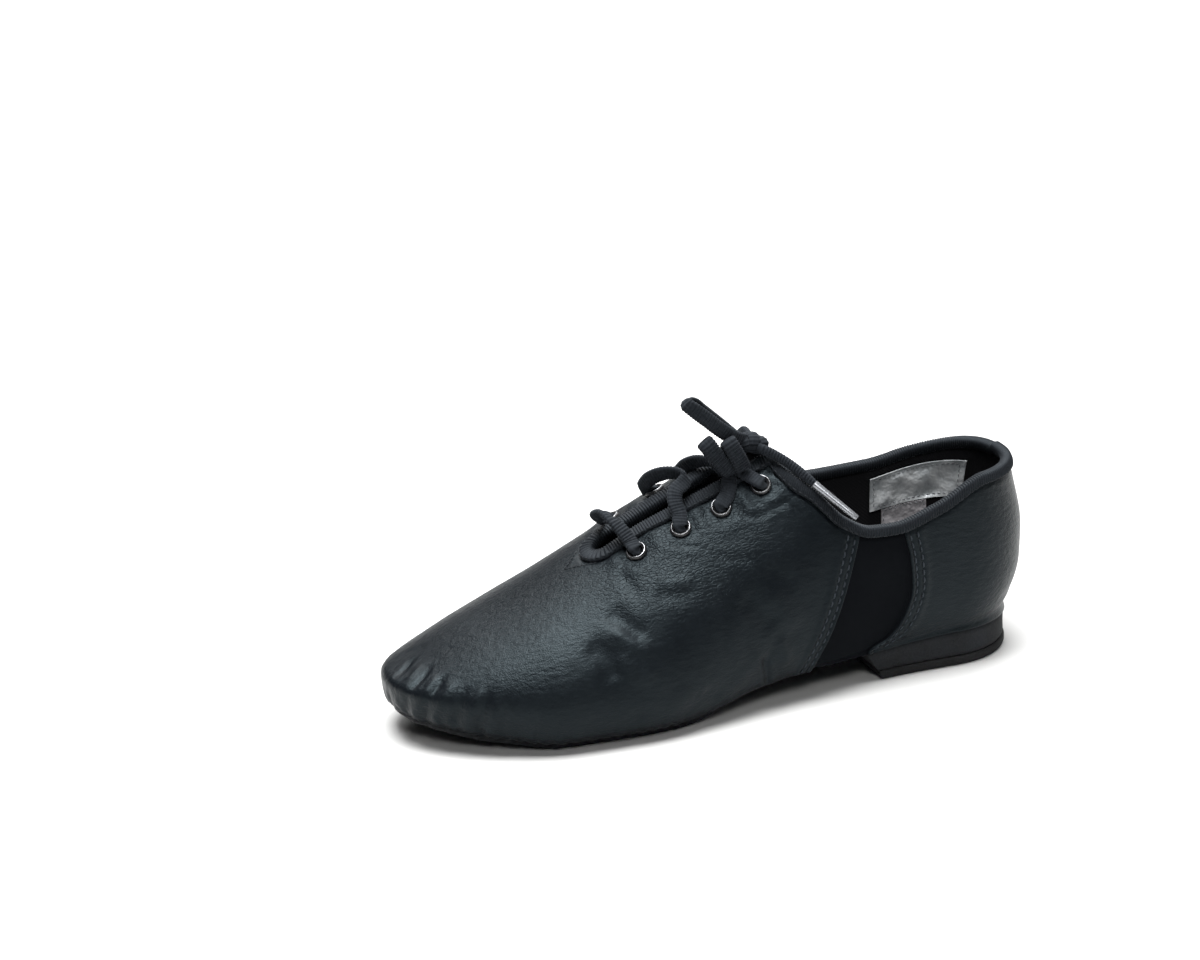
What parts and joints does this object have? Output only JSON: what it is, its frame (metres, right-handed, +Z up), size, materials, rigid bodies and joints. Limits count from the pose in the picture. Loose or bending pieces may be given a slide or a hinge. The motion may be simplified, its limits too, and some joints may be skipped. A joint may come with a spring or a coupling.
{
  "type": "jazz shoe",
  "caption": "Black low-cut lace-up dance shoe for the left foot, with a soft upper, stretch side panels, bound throat and collar, split sole and low block heel.",
  "frame": {"origin": "on the floor, on the heel's bottom face, 30 mm in front of the back of the heel and on the heel's middle line", "axes": "+Z up, +Y from the toe towards the heel, +X towards the outer side of the foot"},
  "size_m": [0.0901, 0.2507, 0.1149],
  "materials": {
    "upper_leather": "satin black leather with fine grain; matte black stretch cloth in the side panels",
    "binding_tape": "matte ribbed tape",
    "insole_cloth": "matte cloth",
    "sole_rubber": "matte",
    "heel_rubber": "matte",
    "eyelet_metal": "gloss black with a bright worn ring",
    "lace_tape": "matte woven tube",
    "aglet_plastic": "gloss",
    "label_cloth": "blank silvery woven cloth"
  },
  "bodies": {
    "root": {"upper": "upper_leather", "binding": "binding_tape", "insole": "insole_cloth", "outsole_forefoot": "sole_rubber", "heel_block": "heel_rubber", "heel_lift": "heel_rubber", "eyelet_outer_1": "eyelet_metal", "eyelet_outer_2": "eyelet_metal", "eyelet_outer_3": "eyelet_metal", "eyelet_outer_4": "eyelet_metal", "eyelet_inner_1": "eyelet_metal", "eyelet_inner_2": "eyelet_metal", "eyelet_inner_3": "eyelet_metal", "eyelet_inner_4": "eyelet_metal", "lace_bar_1": "lace_tape", "lace_bar_2": "lace_tape", "lace_bar_3": "lace_tape", "lace_bar_4": "lace_tape", "lace_knot": "lace_tape", "lace_loop_long": "lace_tape", "lace_loop_short": "lace_tape", "lace_end_outer": "lace_tape", "lace_end_inner": "lace_tape", "aglet_outer": "aglet_plastic", "aglet_inner": "aglet_plastic", "label": "label_cloth", "size_tag": "label_cloth"}
  },
  "joints": []
}
